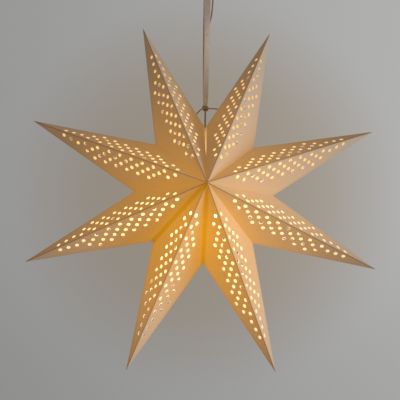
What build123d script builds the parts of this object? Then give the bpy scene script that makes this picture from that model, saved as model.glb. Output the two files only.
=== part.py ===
"""Star pendant light: a folded paper star round a lamp, hung by a ribbon from a ceiling rose.

The origin is the middle of the ceiling face of the rose, +Z is up and the star faces -Y.
"""

import os
from math import acos, asin, cos, degrees, hypot, pi, radians, sin, sqrt, tan

from build123d import *

# Star, in millimetres
POINTS = 8
TIP_RADIUS = 300.0  # centre of the star to a tip
VALLEY_RADIUS = 112.0  # centre of the star to the bottom of a side notch
HALF_DEPTH = 80.0  # middle plane to the front or back apex
PAPER = 0.5  # thickness of the paper
SEAM_WIDTH = 4.0  # opening of the top seam at its outer end
END_LEAN = 2.4  # degrees that the two end tips lean towards the top seam
VALLEY_GAP = 0.3  # between the glued sheets of neighbouring points
APEX_HOLE = 2.0  # diameter of the opening where the sheets' corners meet

# Punched holes, in slanted rows that start beside the ridge
HOLE = 6.0  # diameter
HOLE_MARGIN = 9.0  # least distance from a hole's middle to the side edge or the valley
FULL_ROWS = 6
FULL_ROW_PITCH = 19.45  # between full rows, along the ridge
FULL_ROW = (71.3, 7.1, 8.5, 7.2)  # first hole along and across the ridge, step along and across
FULL_ROW_COUNT = 4  # holes
INNER_ROW = (52.7, 7.3, 11.5, 8.7)  # the short row nearest the apex
INNER_ROW_COUNT = 2
TRIPLE_ROW = (189.9, 7.8, 9.2, 6.1)  # towards the tip the rows get shorter
TRIPLE_ROW_COUNT = 3
DOUBLE_ROW = (212.3, 8.1, 13.2, 3.1)
DOUBLE_ROW_COUNT = 2
LAST_HOLES = ((238.8, 8.5), (251.9, 6.3))  # single holes along and across the ridge

# Ceiling rose
ROSE_HEIGHT = 28.0
ROSE_DIAMETER = 84.0
ROSE_WALL = 2.0
BASE_THICKNESS = 4.0
BASE_CLEARANCE = 2.0  # base to the inside of the cover
SCREW_SPACING = 51.0  # between the two fixing screws
SCREW_HOLE = 4.5
CABLE_ENTRY = 12.0  # hole in the base for the house wiring
BOSS_DIAMETER = 11.0
BOSS_HEIGHT = 8.0
NUT_ACROSS_FLATS = 7.0
NUT_HEIGHT = 3.2
COVER_NUT_DIAMETER = 13.0
COVER_NUT_HEIGHT = 3.5

# Hook
HOOK_WIRE = 4.0
HOOK_DROP = 25.0  # underside of the rose to the wire that carries the ribbon
HOOK_WIDTH = 24.0  # between the wires of the hook's two sides
HOOK_THROAT = 16.0  # height of the hook's inside, wire middle to wire middle
HOOK_TIP = 9.0  # height of the open end above the carrying wire
HOOK_BEND = 5.0  # bend radius
HOOK_CLEARANCE = 0.2  # wire to the holes in the cover and the nuts
HOOK_RECESS = 1.0  # end of the wire below the ceiling face

# Ribbon
DROP = 345.0  # carrying wire to the middle of the star
RIBBON_TOP_WIDTH = 12.0
RIBBON_KNOT_WIDTH = 8.0
RIBBON_THICKNESS = 0.5
RIBBON_PLAY = 0.3  # ribbon to the hook's wire, and between pieces that move on each other

# Knot and tie cords
KNOT_HEIGHT = 9.0
KNOT_DIAMETER = 10.0
KNOT_END_DIAMETER = 7.0
KNOT_SHOULDER = 2.7  # height of each rounded end
KNOT_RISE = 31.0  # outer end of the top seam to the middle of the knot
TIE_CORD = 2.0
TIE_REACH = {"left": 24.0, "right": 40.0}  # along the side edge from the notch to the tie cord's hole
TIE_INSET = 9.0  # side edge to the tie cord's hole in the back facet
TIE_HOLE_PLAY = 0.3
TIE_START_GAP = 0.9  # knot to the middle of the tie cord's end
TIE_START_BACK = 0.5  # that end behind the middle of the knot
TIE_OUTSIDE = 5.0  # length of tie cord outside the paper, square to it
TIE_INSIDE = 4.0  # length inside, to the stopper knot
TIE_BOW = (2.0, 3.0, 1.5)  # how far the tie cord bows outwards, backwards and upwards
STOPPER = 5.0  # diameter of the stopper knot
STOPPER_LAP = 0.4  # length of the tie cord in the stopper knot

# Lead
LEAD = 2.8  # diameter
CORE = 1.2  # diameter of an insulated core
GROMMET_DIAMETER = 8.0
GROMMET_FLANGE = 11.0
GROMMET_FLANGE_HEIGHT = 2.0
GROMMET_X = 14.0
GROMMET_Y = 12.0
LEAD_IN_ROSE = 8.0  # length of lead inside the rose above its floor
LEAD_STRAIGHT = 8.0  # length of lead below the rose before its first bend
LEAD_IN_HOLDER = 7.0  # length of lead in the lamp holder's cap
CORE_STRAIGHT = 4.0  # length of a core before its first bend and after its last
CORE_REACH = 9.0  # a core's bend in front of the lead, in the rose
CORE_IN_BARREL = 3.0
BEND_SHARE = 0.45  # share of a run that a bend may take at each end

# Terminal block in the rose
BLOCK_X = 22.0
BLOCK_Y = 14.0
BLOCK_Z = 11.0
BLOCK_FRONT = 14.0  # middle of the block in front of the hook
BARREL_SPACING = 9.0
BARREL = 4.4
BARREL_BORE = 2.6
TERMINAL_SCREW = 2.6
TERMINAL_SCREW_HEAD = 3.4

# Lamp holder
HOLDER_DIAMETER = 28.0
HOLDER_WALL = 1.8
HOLDER_TOP = 58.0  # top of the cap above the middle of the star
HOLDER_SPLIT = 36.0  # cap meets shell
HOLDER_MOUTH = 2.0  # lower rim of the shell
CAP_LAP = 5.0  # length of the cap's spigot inside the shell
CORD_GRIP_DIAMETER = 9.0
CORD_GRIP_HEIGHT = 9.0
CORD_GRIP_THREAD = 4.0  # length in the cap
INSERT_HEIGHT = 7.0
SLEEVE_BORE = 14.3
SLEEVE_WALL = 0.6
CONTACT_LENGTH = 10.7
CONTACT_WIDTH = 5.0
CONTACT_THICKNESS = 0.5
HOLDER_FIT = 0.2

# Lamp
LAMP_CAP_DIAMETER = 13.8
LAMP_CAP_WALL = 0.5
LAMP_CAP_LENGTH = 17.0
INSULATOR_HEIGHT = 2.6
INSULATOR_TOP_DIAMETER = 7.0
BUTTON_DIAMETER = 4.6
BUTTON_HEIGHT = 1.0
CONTACT_GAP = 0.3  # button to the centre contact
COLLAR_LENGTH = 18.0
COLLAR_WALL = 1.6
GLOBE_DIAMETER = 45.0
GLOBE_WALL = 1.0
GLOBE_NECK = 36.0  # diameter where the globe meets the collar
BOARD_THICKNESS = 1.6
LED_COUNT = 8
LED_SIZE = 2.8
LED_HEIGHT = 0.8
LED_RING = 10.0  # radius of the ring of LEDs
DRIVER_WIDTH = 9.0
DRIVER_LENGTH = 20.0
DRIVER_THICKNESS = 1.2

# Heights that follow from these
ROSE_FLOOR = -ROSE_HEIGHT
WIRE_Z = ROSE_FLOOR - HOOK_DROP
CENTRE_Z = WIRE_Z - DROP
KNOT_Z = CENTRE_Z + VALLEY_RADIUS + KNOT_RISE
KNOT_TOP = KNOT_Z + KNOT_HEIGHT / 2
KNOT_BOTTOM = KNOT_Z - KNOT_HEIGHT / 2
CENTRE = Vector(0, 0, CENTRE_Z)

# Angles round the star from +X towards +Z, counted anticlockwise from the seam
SEAM_HALF = degrees(asin(SEAM_WIDTH / 2 / VALLEY_RADIUS))
PITCH = (360 - 2 * SEAM_HALF) / POINTS
VALLEY_ANGLES = [90 + SEAM_HALF + PITCH * i for i in range(POINTS + 1)]
TIP_ANGLES = [VALLEY_ANGLES[i] + PITCH / 2 for i in range(POINTS)]
TIP_ANGLES[0] -= END_LEAN
TIP_ANGLES[-1] += END_LEAN

# Rows of holes, from the apex outwards, each with its number of holes
HOLE_ROWS = [(INNER_ROW, INNER_ROW_COUNT)]
for i in range(FULL_ROWS):
    HOLE_ROWS.append(((FULL_ROW[0] + i * FULL_ROW_PITCH, *FULL_ROW[1:]), FULL_ROW_COUNT))
HOLE_ROWS.append((TRIPLE_ROW, TRIPLE_ROW_COUNT))
HOLE_ROWS.append((DOUBLE_ROW, DOUBLE_ROW_COUNT))
for along, across in LAST_HOLES:
    HOLE_ROWS.append(((along, across, 0, 0), 1))

parts = {}


def around(radius, angle):
    """A point of the star's middle plane."""
    return CENTRE + Vector(radius * cos(radians(angle)), 0, radius * sin(radians(angle)))


def cylinder(diameter, low, high, x=0.0, y=0.0):
    """An upright cylinder between two heights."""
    return Pos(x, y, low) * Cylinder(
        diameter / 2, high - low, align=(Align.CENTER, Align.CENTER, Align.MIN)
    )


def tube(outer, inner, low, high, x=0.0, y=0.0):
    """An upright tube between two heights."""
    return cylinder(outer, low, high, x, y) - cylinder(inner, low, high, x, y)


def turned(*points):
    """A solid of revolution about the vertical axis, from its half section."""
    section = make_face(Polyline(*[(r, 0, z) for r, z in points], close=True))
    return revolve(section, Axis.Z)


def swept(path, diameter):
    """A round cord or wire along a path."""
    return sweep(Plane(path @ 0, z_dir=path % 0) * Circle(diameter / 2), path)


def route(points, diameter, label):
    """A cord through points, with arcs as large as its runs allow."""
    corners = [Vector(*p) for p in points]
    radii = []
    for before, at, after in zip(corners, corners[1:], corners[2:]):
        turn = radians((at - before).get_angle(after - at))
        shorter = min((at - before).length, (after - at).length)
        radii.append(BEND_SHARE * shorter / tan(turn / 2))
    path = FilletPolyline(*corners, radius=radii)
    cord = swept(path, diameter)
    share = cord.volume / (pi * diameter**2 / 4 * path.length)
    print(label, "radii", [round(r, 1) for r in radii])
    print(label, "length", round(path.length, 1), "volume share", round(share, 4))
    return cord


def group(*solids):
    """Separate solids in one node."""
    return Compound(children=list(solids))


class Facet:
    """One flat triangle of a point, from its apex, tip and valley."""

    def __init__(self, apex, tip, valley):
        self.apex, self.tip, self.valley = apex, tip, valley
        along = (tip - apex).normalized()
        normal = along.cross(valley - apex).normalized()
        if normal.dot(apex - CENTRE) < 0:
            normal = -normal
        self.plane = Plane(apex, x_dir=along, z_dir=normal)
        self.length = (tip - apex).length
        at = self.plane.to_local_coords(valley)
        self.u, self.v = at.X, at.Y
        self.side = 1 if at.Y > 0 else -1

    def from_valley(self, u, v):
        """Distance of a point of the facet from its valley edge."""
        return (self.v * u - self.u * v) * self.side / hypot(self.u, self.v)

    def from_edge(self, u, v):
        """Distance of a point of the facet from the point's side edge."""
        run = self.length - self.u
        return ((self.length - u) * self.v - run * v) * self.side / hypot(run, self.v)

    def holes(self):
        """Middles of the punched holes that clear the facet's edges."""
        kept = []
        for (along, across, step_along, step_across), count in HOLE_ROWS:
            for i in range(count):
                u = along + i * step_along
                v = self.side * (across + i * step_across)
                if min(self.from_edge(u, v), self.from_valley(u, v)) >= HOLE_MARGIN:
                    kept.append((u, v))
        return kept

    def outline(self):
        """The triangle, drawn in from the valley by half the gap there."""
        gap = VALLEY_GAP / 2
        at_apex = acos(self.u / hypot(self.u, self.v))
        edge = Vector(self.length - self.u, -self.v)
        at_valley = radians(edge.get_angle(Vector(-self.u, -self.v)))
        near = Vector(gap / sin(at_apex), 0)
        far = Vector(self.u, self.v) + edge.normalized() * (gap / sin(at_valley))
        return make_face(Polyline(near, (self.length, 0), far, close=True))

    def tie_hole(self, reach):
        """Place of a tie cord's hole: in from the side edge, beside the notch."""
        edge = Vector(self.length - self.u, -self.v).normalized()
        inward = Vector(edge.Y, -edge.X) * self.side
        return Vector(self.u, self.v) + edge * reach + inward * TIE_INSET

    def solid(self, tie_reach=None):
        """The facet in paper, mitred at the ridge and at the side edge."""
        face = self.outline()
        cuts = [Pos(u, v) * Circle(HOLE / 2) for u, v in self.holes()]
        cuts.append(Circle(APEX_HOLE / 2))
        if tie_reach:
            cuts.append(Pos(self.tie_hole(tie_reach)) * Circle(TIE_CORD / 2 + TIE_HOLE_PLAY))
        sheet = extrude(self.plane * (face - cuts), amount=PAPER, dir=-self.plane.z_dir)
        ridge = (self.tip - CENTRE).cross(Vector(0, 1, 0)).normalized()
        if ridge.dot(self.valley - CENTRE) < 0:
            ridge = -ridge
        sheet = split(sheet, bisect_by=Plane(CENTRE, z_dir=ridge), keep=Keep.TOP)
        outward = Vector(0, self.apex.Y, 0).normalized()
        return split(sheet, bisect_by=Plane(CENTRE, z_dir=outward), keep=Keep.TOP)


# Paper star: sheet a is the clockwise half of a point as seen from the front, sheet b the other half
FRONT_APEX = CENTRE - Vector(0, HALF_DEPTH, 0)
BACK_APEX = CENTRE + Vector(0, HALF_DEPTH, 0)
end_facets = {}
hole_counts = []
for number in range(1, POINTS + 1):
    tip = around(TIP_RADIUS, TIP_ANGLES[number - 1])
    for letter, angle in (("a", VALLEY_ANGLES[number - 1]), ("b", VALLEY_ANGLES[number])):
        valley = around(VALLEY_RADIUS, angle)
        front = Facet(FRONT_APEX, tip, valley)
        back = Facet(BACK_APEX, tip, valley)
        hole_counts.append(len(front.holes()))
        tied = {(1, "a"): "left", (POINTS, "b"): "right"}.get((number, letter))
        if tied:
            end_facets[tied] = back
        parts[f"point_{number}_sheet_{letter}"] = group(front.solid(), back.solid(TIE_REACH.get(tied)))
print("holes in a facet, fewest and most", min(hole_counts), max(hole_counts))

# Knot, with the lead through its middle
LEAD_BORE = LEAD + 2 * RIBBON_PLAY
knot_waist = KNOT_DIAMETER / 2
knot_end = KNOT_END_DIAMETER / 2
parts["knot"] = turned(
    (LEAD_BORE / 2, KNOT_BOTTOM),
    (knot_end, KNOT_BOTTOM),
    (knot_waist, KNOT_BOTTOM + KNOT_SHOULDER),
    (knot_waist, KNOT_TOP - KNOT_SHOULDER),
    (knot_end, KNOT_TOP),
    (LEAD_BORE / 2, KNOT_TOP),
)

# Tie cords, each from the knot to the hole in the back facet of an end point
for name, side in (("left", -1), ("right", 1)):
    facet = end_facets[name]
    outward = facet.plane.z_dir
    hole = facet.plane.from_local_coords(facet.tie_hole(TIE_REACH[name]))
    start = Vector(side * (knot_waist + TIE_START_GAP), TIE_START_BACK, KNOT_Z)
    outside = hole + outward * TIE_OUTSIDE
    bow_x, bow_y, bow_z = TIE_BOW
    behind = (start + outside) / 2 + Vector(side * bow_x, bow_y, bow_z)
    inside = hole - outward * TIE_INSIDE
    parts[f"tie_cord_{name}"] = route([start, behind, outside, inside], TIE_CORD, f"tie_cord_{name}")
    stopper = inside - outward * (STOPPER / 2 - STOPPER_LAP)
    ball = Pos(stopper) * Sphere(STOPPER / 2)
    parts[f"stopper_knot_{name}"] = ball - parts[f"tie_cord_{name}"]

# Ribbon: a bight over the hook's wire and two plies down to the knot
bight_inner = HOOK_WIRE / 2 + RIBBON_PLAY
bight_outer = bight_inner + RIBBON_THICKNESS
half_top = RIBBON_TOP_WIDTH / 2
tongue = half_top + RIBBON_PLAY
ring = Pos(0, 0, WIRE_Z) * Rot(0, 90, 0) * Cylinder(bight_outer, RIBBON_TOP_WIDTH)
ring -= Pos(0, 0, WIRE_Z) * Rot(0, 90, 0) * Cylinder(bight_inner, RIBBON_TOP_WIDTH)
bight = split(ring, bisect_by=Plane((0, 0, WIRE_Z), z_dir=(0, 0, 1)), keep=Keep.TOP)
for side in (-1, 1):
    middle = side * (bight_inner + bight_outer) / 2
    disc = Pos(0, middle, WIRE_Z) * Rot(90, 0, 0) * Cylinder(tongue, RIBBON_THICKNESS)
    leg = split(disc, bisect_by=Plane((0, 0, WIRE_Z), z_dir=(0, 0, -1)), keep=Keep.TOP)
    leg &= Pos(0, middle, WIRE_Z) * Box(RIBBON_TOP_WIDTH, RIBBON_THICKNESS, 2 * tongue)
    bight += leg
parts["ribbon_bight"] = bight

plies = []
ply_low = KNOT_TOP + RIBBON_PLAY
ply_length = WIRE_Z - ply_low
for side in (-1, 1):
    top_y = side * bight_inner
    end_y = side * LEAD_BORE / 2
    slope = Vector(0, end_y - top_y, -ply_length)
    across = Vector(1, 0, 0)
    plane = Plane((0, top_y, WIRE_Z), x_dir=across, z_dir=across.cross(slope.normalized()))
    half_end = RIBBON_KNOT_WIDTH / 2
    run = slope.length
    corners = [(-half_top, 0), (half_top, 0), (half_end, run), (-half_end, run)]
    strip = plane * make_face(Polyline(*corners, close=True))
    ply = extrude(strip, amount=RIBBON_THICKNESS, dir=Vector(0, side, 0))
    ply -= Pos(0, 0, WIRE_Z) * Rot(90, 0, 0) * Cylinder(tongue + RIBBON_PLAY, 4 * bight_outer)
    plies.append(ply)
parts["ribbon"] = group(*plies)

# Lead: from the rose to beside the hook, in between the ribbon's plies, and through the knot and the seam
LEAD_TOP = ROSE_FLOOR + LEAD_IN_ROSE
BEND_START = ROSE_FLOOR - LEAD_STRAIGHT
entry_points = [
    (GROMMET_X, GROMMET_Y, LEAD_TOP),
    (GROMMET_X, GROMMET_Y, BEND_START),
    (11.4, 7.8, WIRE_Z + 10.0),
    (10.8, 6.4, WIRE_Z),
]
upper_points = [
    entry_points[-1],
    (9.9, 4.3, WIRE_Z - 15.0),
    (9.2, 2.4, WIRE_Z - 27.0),
    (7.8, 0.9, WIRE_Z - 39.0),
    (4.6, 0.2, WIRE_Z - 53.0),
    (1.4, 0.0, WIRE_Z - 69.0),
    (0.0, 0.0, WIRE_Z - 93.0),
    (0.0, 0.0, KNOT_TOP + RIBBON_PLAY),
]
parts["lead_entry"] = route(entry_points, LEAD, "lead_entry")
parts["lead_upper"] = route(upper_points, LEAD, "lead_upper")
CORES_START = CENTRE_Z + HOLDER_TOP - LEAD_IN_HOLDER
parts["lead_lower"] = cylinder(LEAD, CORES_START, KNOT_TOP)

# Ceiling rose
base_radius = ROSE_DIAMETER / 2 - ROSE_WALL - BASE_CLEARANCE
wire_hole = HOOK_WIRE + 2 * HOOK_CLEARANCE
boss_foot = -BASE_THICKNESS - BOSS_HEIGHT
base = cylinder(2 * base_radius, -BASE_THICKNESS, 0)
base += cylinder(BOSS_DIAMETER, boss_foot, -BASE_THICKNESS)
base -= cylinder(wire_hole, boss_foot, 0)
base -= cylinder(CABLE_ENTRY, -BASE_THICKNESS, 0, y=base_radius / 2)
for side in (-1, 1):
    base -= cylinder(SCREW_HOLE, -BASE_THICKNESS, 0, x=side * SCREW_SPACING / 2)
parts["rose_base"] = base

grommet_hole = GROMMET_DIAMETER + 2 * HOOK_CLEARANCE
cover = cylinder(ROSE_DIAMETER, ROSE_FLOOR, 0)
cover -= cylinder(ROSE_DIAMETER - 2 * ROSE_WALL, ROSE_FLOOR + ROSE_WALL, 0)
cover = fillet(cover.edges().filter_by(GeomType.CIRCLE).group_by(Axis.Z)[0], ROSE_WALL)
cover -= cylinder(wire_hole, ROSE_FLOOR, ROSE_FLOOR + ROSE_WALL)
cover -= cylinder(grommet_hole, ROSE_FLOOR, ROSE_FLOOR + ROSE_WALL, GROMMET_X, GROMMET_Y)
parts["rose_cover"] = cover

hook_top = -HOOK_RECESS
throat_z = WIRE_Z + HOOK_THROAT
half_hook = HOOK_WIDTH / 2
hook_path = FilletPolyline(
    (0, 0, hook_top),
    (0, 0, throat_z),
    (half_hook, 0, throat_z),
    (half_hook, 0, WIRE_Z),
    (-half_hook, 0, WIRE_Z),
    (-half_hook, 0, WIRE_Z + HOOK_TIP),
    radius=HOOK_BEND,
)
parts["hook"] = swept(hook_path, HOOK_WIRE)

nut = Pos(0, 0, boss_foot - NUT_HEIGHT) * extrude(
    RegularPolygon(NUT_ACROSS_FLATS / 2, 6, major_radius=False), amount=NUT_HEIGHT
)
parts["hook_lock_nut"] = nut - cylinder(wire_hole, boss_foot - NUT_HEIGHT, boss_foot)
cover_nut_foot = ROSE_FLOOR - COVER_NUT_HEIGHT
parts["cover_nut"] = tube(COVER_NUT_DIAMETER, wire_hole, cover_nut_foot, ROSE_FLOOR)

lead_hole = LEAD + 2 * HOOK_CLEARANCE
grommet_foot = ROSE_FLOOR - GROMMET_FLANGE_HEIGHT
grommet = cylinder(GROMMET_DIAMETER, grommet_foot, ROSE_FLOOR + 2 * ROSE_WALL, GROMMET_X, GROMMET_Y)
grommet += cylinder(GROMMET_FLANGE, grommet_foot, ROSE_FLOOR, GROMMET_X, GROMMET_Y)
grommet -= cylinder(lead_hole, grommet_foot, ROSE_FLOOR + 2 * ROSE_WALL, GROMMET_X, GROMMET_Y)
parts["cable_grommet"] = grommet

# Terminal block under the base, with the lead's two cores in its barrels
block_z = -BASE_THICKNESS - BLOCK_Z / 2
block = Pos(GROMMET_X, -BLOCK_FRONT, block_z) * Box(BLOCK_X, BLOCK_Y, BLOCK_Z)
barrels = []
screws = []
cores = []
for side in (-1, 1):
    barrel_x = GROMMET_X + side * BARREL_SPACING / 2
    place = Pos(barrel_x, -BLOCK_FRONT, block_z) * Rot(90, 0, 0)
    block -= place * Cylinder(BARREL / 2, BLOCK_Y)
    barrels.append(place * (Cylinder(BARREL / 2, BLOCK_Y) - Cylinder(BARREL_BORE / 2, BLOCK_Y)))
    for end in (-1, 1):
        screw_y = -BLOCK_FRONT + end * BLOCK_Y / 4
        screw_foot = block_z - BLOCK_Z / 2
        block -= cylinder(TERMINAL_SCREW_HEAD, screw_foot, block_z, barrel_x, screw_y)
        screws.append(cylinder(TERMINAL_SCREW, screw_foot, block_z - BARREL / 2, barrel_x, screw_y))
    core_x = GROMMET_X + side * LEAD / 4
    core_points = [
        (core_x, GROMMET_Y, LEAD_TOP),
        (core_x, GROMMET_Y, LEAD_TOP + CORE_STRAIGHT),
        (barrel_x, GROMMET_Y - CORE_REACH, block_z),
        (barrel_x, -BLOCK_FRONT + BLOCK_Y / 2 - CORE_IN_BARREL, block_z),
    ]
    cores.append(route(core_points, CORE, "rose_core"))
parts["terminal_block"] = block
parts["terminal_barrels"] = group(*barrels)
parts["terminal_block_screws"] = group(*[screw - barrels[0] - barrels[1] for screw in screws])
parts["rose_cores"] = group(*cores)

# Lamp holder, hanging on the lead in the middle of the star
cap_top = CENTRE_Z + HOLDER_TOP
cap_foot = CENTRE_Z + HOLDER_SPLIT
spigot_foot = cap_foot - CAP_LAP
holder_radius = HOLDER_DIAMETER / 2
spigot_radius = holder_radius - HOLDER_WALL - HOLDER_FIT
bore_radius = spigot_radius - HOLDER_WALL
grip_hole = CORD_GRIP_DIAMETER / 2 + HOLDER_FIT
shoulder_radius = grip_hole + 2 * HOLDER_WALL
shoulder_z = cap_top - (holder_radius - shoulder_radius)
parts["holder_cap"] = turned(
    (grip_hole, cap_top),
    (shoulder_radius, cap_top),
    (holder_radius, shoulder_z),
    (holder_radius, cap_foot),
    (spigot_radius, cap_foot),
    (spigot_radius, spigot_foot),
    (bore_radius, spigot_foot),
    (bore_radius, shoulder_z),
    (shoulder_radius, cap_top - HOLDER_WALL),
    (grip_hole, cap_top - HOLDER_WALL),
)
grip_top = cap_top - CORD_GRIP_THREAD + CORD_GRIP_HEIGHT
grip_foot = cap_top - CORD_GRIP_THREAD
parts["cord_grip"] = tube(CORD_GRIP_DIAMETER, LEAD + 2 * HOLDER_FIT, grip_foot, grip_top)

mouth_z = CENTRE_Z + HOLDER_MOUTH
insert_foot = spigot_foot - INSERT_HEIGHT
sleeve_radius = SLEEVE_BORE / 2 + SLEEVE_WALL
shell_bore = holder_radius - HOLDER_WALL
shell = tube(HOLDER_DIAMETER, 2 * shell_bore, mouth_z, cap_foot)
shell += tube(2 * shell_bore, 2 * (sleeve_radius + HOLDER_FIT), mouth_z, mouth_z + HOLDER_WALL)
parts["holder_shell"] = shell

terminal_x = spigot_radius / 2
parts["holder_insert"] = cylinder(2 * spigot_radius, insert_foot, spigot_foot)
parts["thread_sleeve"] = tube(2 * sleeve_radius, SLEEVE_BORE, mouth_z + HOLDER_WALL, insert_foot)
contact_z = insert_foot - CONTACT_THICKNESS
parts["centre_contact"] = Pos(0, 0, insert_foot - CONTACT_THICKNESS / 2) * Box(
    CONTACT_LENGTH, CONTACT_WIDTH, CONTACT_THICKNESS
)
screw_top = spigot_foot + TERMINAL_SCREW
parts["holder_terminal_screws"] = group(
    *[cylinder(TERMINAL_SCREW_HEAD, spigot_foot, screw_top, x=side * terminal_x) for side in (-1, 1)]
)
holder_cores = []
for side in (-1, 1):
    core_points = [
        (side * LEAD / 4, 0, CORES_START),
        (side * LEAD / 4, 0, CORES_START - CORE_STRAIGHT),
        (side * terminal_x, 0, screw_top + CORE_STRAIGHT),
        (side * terminal_x, 0, screw_top),
    ]
    holder_cores.append(route(core_points, CORE, "holder_core"))
parts["holder_cores"] = group(*holder_cores)

# Lamp
button_top = contact_z - CONTACT_GAP
button_foot = button_top - BUTTON_HEIGHT
insulator_foot = button_foot - INSULATOR_HEIGHT
lamp_cap_foot = insulator_foot - LAMP_CAP_LENGTH
lamp_cap_radius = LAMP_CAP_DIAMETER / 2
lamp_cap_bore = lamp_cap_radius - LAMP_CAP_WALL
parts["lamp_button"] = cylinder(BUTTON_DIAMETER, button_foot, button_top)
parts["lamp_insulator"] = turned(
    (0, insulator_foot),
    (lamp_cap_radius, insulator_foot),
    (INSULATOR_TOP_DIAMETER / 2, button_foot),
    (0, button_foot),
)
parts["lamp_cap"] = tube(LAMP_CAP_DIAMETER, 2 * lamp_cap_bore, lamp_cap_foot, insulator_foot)
neck_z = lamp_cap_foot - COLLAR_LENGTH
neck_radius = GLOBE_NECK / 2
parts["lamp_collar"] = turned(
    (lamp_cap_bore, lamp_cap_foot),
    (lamp_cap_radius, lamp_cap_foot),
    (neck_radius, neck_z),
    (neck_radius - COLLAR_WALL, neck_z),
)
globe_radius = GLOBE_DIAMETER / 2
globe_z = neck_z - sqrt(globe_radius**2 - neck_radius**2)
globe = Pos(0, 0, globe_z) * (Sphere(globe_radius) - Sphere(globe_radius - GLOBE_WALL))
parts["lamp_globe"] = split(globe, bisect_by=Plane((0, 0, neck_z), z_dir=(0, 0, -1)), keep=Keep.TOP)
globe_mouth = sqrt((globe_radius - GLOBE_WALL) ** 2 - (neck_z - globe_z) ** 2)
board_foot = neck_z - BOARD_THICKNESS
parts["led_board"] = cylinder(2 * (globe_mouth - HOLDER_FIT / 2), board_foot, neck_z)
leds = []
for number in range(LED_COUNT):
    turn = Rot(0, 0, 360 / LED_COUNT * number)
    place = turn * Pos(LED_RING, 0, board_foot - LED_HEIGHT / 2)
    leds.append(place * Box(LED_SIZE, LED_SIZE, LED_HEIGHT))
parts["leds"] = group(*leds)
driver_z = neck_z + DRIVER_LENGTH / 2
parts["driver_board"] = Pos(0, 0, driver_z) * Box(DRIVER_WIDTH, DRIVER_THICKNESS, DRIVER_LENGTH)

os.makedirs("parts", exist_ok=True)
for name, shape in parts.items():
    export_step(shape, f"parts/{name}.step")
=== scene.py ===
# %% [markdown]
# # Star pendant light
# A folded paper star glows round a lamp and hangs by a ribbon from a ceiling rose. The rigid model
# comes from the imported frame. This lesson dresses it: the paper points, the ribbon with its knot, the
# lead and the tie cords are new pieces. The rose, hook, lamp holder and lamp keep their own shapes and
# get finishes, apart from two screw threads.

# %% Load the frame
import math
import random

import bmesh
import bpy
from mathutils import Matrix, Quaternion, Vector


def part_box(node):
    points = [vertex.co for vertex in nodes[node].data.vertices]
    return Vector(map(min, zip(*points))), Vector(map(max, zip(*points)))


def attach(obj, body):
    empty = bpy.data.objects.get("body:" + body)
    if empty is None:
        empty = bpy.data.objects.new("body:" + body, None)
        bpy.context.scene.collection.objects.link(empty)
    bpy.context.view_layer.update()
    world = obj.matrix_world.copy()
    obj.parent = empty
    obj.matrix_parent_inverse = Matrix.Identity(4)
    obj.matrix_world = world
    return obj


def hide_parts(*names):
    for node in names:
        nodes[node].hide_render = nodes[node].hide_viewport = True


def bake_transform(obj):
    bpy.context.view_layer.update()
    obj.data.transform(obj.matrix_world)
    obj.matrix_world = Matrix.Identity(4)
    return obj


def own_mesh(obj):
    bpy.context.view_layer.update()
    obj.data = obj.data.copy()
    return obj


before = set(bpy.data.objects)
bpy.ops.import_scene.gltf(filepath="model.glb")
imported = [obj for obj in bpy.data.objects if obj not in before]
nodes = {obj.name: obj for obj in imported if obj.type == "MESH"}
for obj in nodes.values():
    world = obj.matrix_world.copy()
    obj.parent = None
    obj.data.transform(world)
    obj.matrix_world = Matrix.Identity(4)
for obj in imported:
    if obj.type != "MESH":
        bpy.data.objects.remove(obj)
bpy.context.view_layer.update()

# %% [markdown]
# ## Camera
# The picture was taken from a little below the star and a little to its left, so the camera looks up. A
# camera can be turned by three angles, but it is easier to say where it stands and to aim it: it turns
# round the middle of the star, and a small shift puts that middle where the picture has it.

# %% Camera
STAR = Vector((0, 0, -0.398))
AZIMUTH, ELEVATION, ROLL = math.radians(-3.2), math.radians(-11.8), math.radians(0.92)
DISTANCE = 1.1
SENSOR, LENS, SHIFT = 36, 61.6, (-0.0100, -0.0172)

camera = bpy.data.objects.new("camera", bpy.data.cameras.new("camera"))
bpy.context.scene.collection.objects.link(camera)
back = Vector((
    math.sin(AZIMUTH) * math.cos(ELEVATION), -math.cos(AZIMUTH) * math.cos(ELEVATION), math.sin(ELEVATION)
))
camera.rotation_mode = "QUATERNION"
camera.location = STAR + back * DISTANCE
camera.rotation_quaternion = (-back).to_track_quat("-Z", "Y") @ Quaternion((0, 0, 1), ROLL)
camera.data.sensor_width, camera.data.lens = SENSOR, LENS
camera.data.shift_x, camera.data.shift_y = SHIFT
bpy.context.scene.camera = camera
print("camera at", [round(x, 3) for x in camera.location])

# %% [markdown]
# ## Helpers for shader nodes
# Every finish here is a small network of nodes. Adding a node, setting it and linking it takes several
# lines each time, so a few short helpers do that and keep the cells readable. One starts a finish with
# its shader, one adds a node and fills its sockets, and the others are the nodes that come up again and
# again.

# %% Finishes and nodes
def finish(name, color, roughness, **settings):
    """A new material, with its nodes and its shader."""
    material = bpy.data.materials.new(name)
    material.use_nodes = True
    shader = material.node_tree.nodes["Principled BSDF"]
    shader.inputs["Base Color"].default_value = (*color, 1)
    shader.inputs["Roughness"].default_value = roughness
    for socket, value in settings.items():
        shader.inputs[socket.replace("_", " ")].default_value = value
    return material


def node(material, kind, inputs=(), **settings):
    """Adds a node, sets its properties, and links or sets its inputs."""
    made = material.node_tree.nodes.new(kind)
    for name, value in settings.items():
        setattr(made, name, value)
    for socket, value in dict(inputs).items():
        if isinstance(value, bpy.types.NodeSocket):
            material.node_tree.links.new(value, made.inputs[socket])
        else:
            made.inputs[socket].default_value = value
    return made


def to_shader(material, socket, value):
    """Links a value to the material's shader."""
    shader = material.node_tree.nodes["Principled BSDF"]
    material.node_tree.links.new(value, shader.inputs[socket])


# %% Numbers and colours
NOISE_SPREAD = (0.3, 0.7)


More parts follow.
